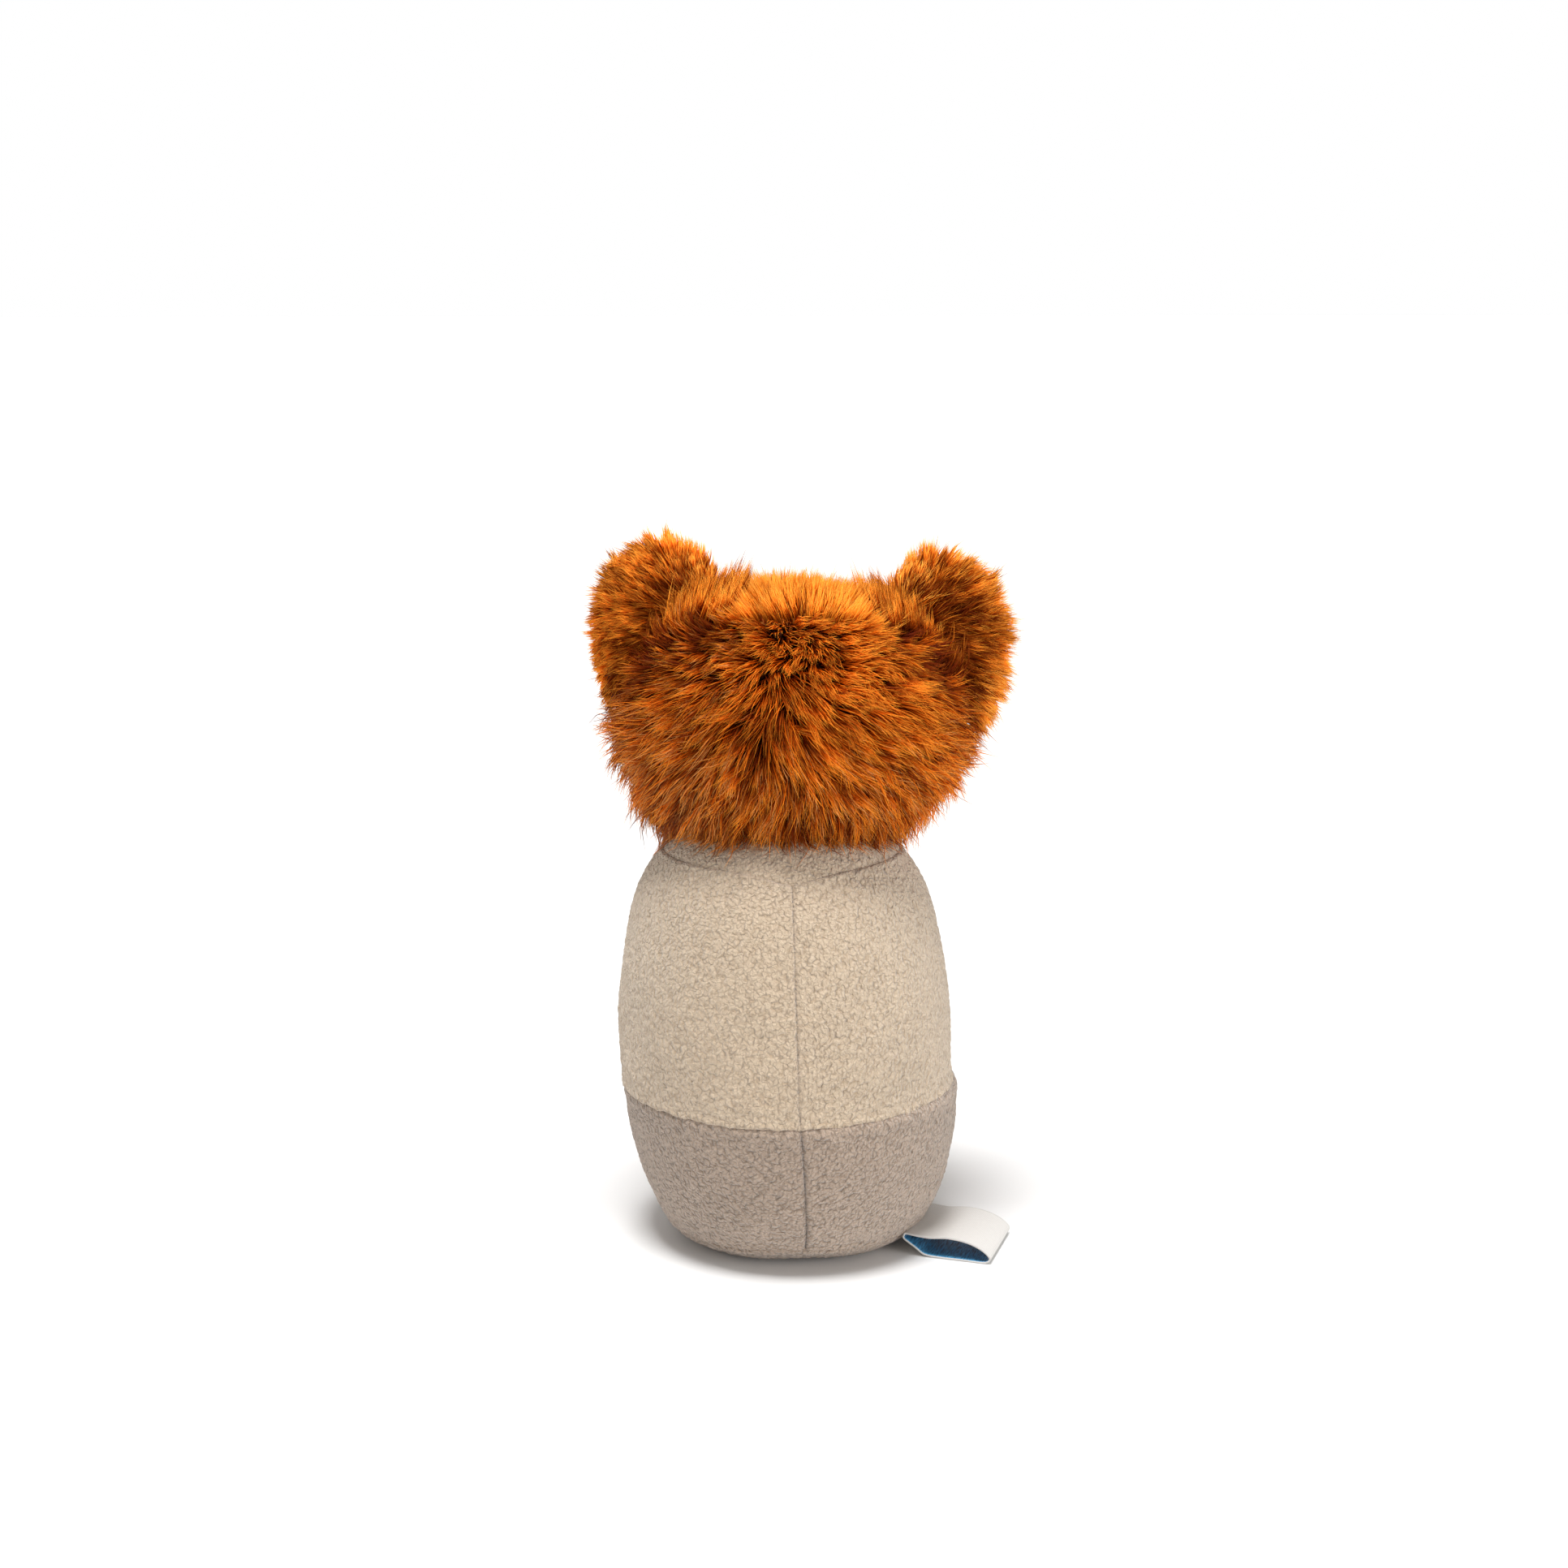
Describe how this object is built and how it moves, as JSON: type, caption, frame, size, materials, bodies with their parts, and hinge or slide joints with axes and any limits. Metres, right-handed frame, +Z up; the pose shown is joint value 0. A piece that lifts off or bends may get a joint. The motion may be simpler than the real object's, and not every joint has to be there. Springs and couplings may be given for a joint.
{
  "type": "plush cat toy",
  "caption": "Standing plush cat with an egg-shaped fleece body, grey toe, furry turning head, folding ears and a loop label in the base seam.",
  "frame": {"origin": "middle of the flat base on the floor", "axes": "+Z up, -Y the way the face looks, +X the toy's own left"},
  "size_m": [0.1215, 0.1068, 0.2047],
  "materials": {
    "beige_fleece": "short pebbled beige fleece",
    "grey_fleece": "short pebbled taupe-grey fleece",
    "long_fur": "long russet plush pile",
    "short_fur": "short light orange plush pile",
    "lining_fur": "short pale orange plush pile",
    "muzzle_plush": "short cream plush",
    "gloss_black": "moulded glossy black plastic",
    "stitch_thread": "twisted dark brown embroidery thread",
    "washer_plastic": "natural moulded plastic",
    "fibre_filling": "white fibre filling",
    "pouch_cloth": "plain woven cotton pouch of pellets",
    "label_tape": "woven satin tape, white outside and dark blue inside"
  },
  "bodies": {
    "torso": {"body_panel_left": "beige_fleece", "body_panel_right": "beige_fleece", "toe_panel_left": "grey_fleece", "toe_panel_right": "grey_fleece", "base_disc": "grey_fleece", "neck_collar": "beige_fleece", "pellet_pouch": "pouch_cloth", "body_stuffing": "fibre_filling"},
    "neck": {"neck_stuffing": "fibre_filling"},
    "head": {"head_back_left": "long_fur", "head_back_right": "long_fur", "face_left": "short_fur", "face_right": "short_fur", "head_stuffing": "fibre_filling", "muzzle": "muzzle_plush", "nose": "gloss_black", "nose_washer": "washer_plastic", "mouth_stitch": "stitch_thread", "left_eye": "gloss_black", "right_eye": "gloss_black", "left_eye_washer": "washer_plastic", "right_eye_washer": "washer_plastic"},
    "left_ear": {"left_ear_back": "long_fur", "left_ear_lining": "lining_fur"},
    "right_ear": {"right_ear_back": "long_fur", "right_ear_lining": "lining_fur"},
    "label": {"label_loop": "label_tape"}
  },
  "joints": [
    {"name": "neck_turn", "type": "hinge", "parent": "torso", "child": "neck", "pos_m": [0, 0, 0.089], "axis": [0, 0, 1], "range_deg": [-25, 25], "stiffness_Nm_per_rad": 0.5},
    {"name": "head_nod", "type": "hinge", "parent": "neck", "child": "head", "pos_m": [0, 0, 0.089], "axis": [1, 0, 0], "range_deg": [-12, 10], "stiffness_Nm_per_rad": 0.8},
    {"name": "left_ear_fold", "type": "hinge", "parent": "head", "child": "left_ear", "pos_m": [0.03658, -0.00366, 0.17671], "axis": [0.6665, 0.065, -0.7426], "range_deg": [-30, 30], "stiffness_Nm_per_rad": 0.05},
    {"name": "right_ear_fold", "type": "hinge", "parent": "head", "child": "right_ear", "pos_m": [-0.04112, -0.00321, 0.17157], "axis": [0.5621, -0.0721, 0.8239], "range_deg": [-30, 30], "stiffness_Nm_per_rad": 0.05},
    {"name": "label_flap", "type": "hinge", "parent": "torso", "child": "label", "pos_m": [-0.0376, 0.01519, 0.0056], "axis": [0.3746, 0.9272, 0], "range_deg": [0, 45]}
  ]
}
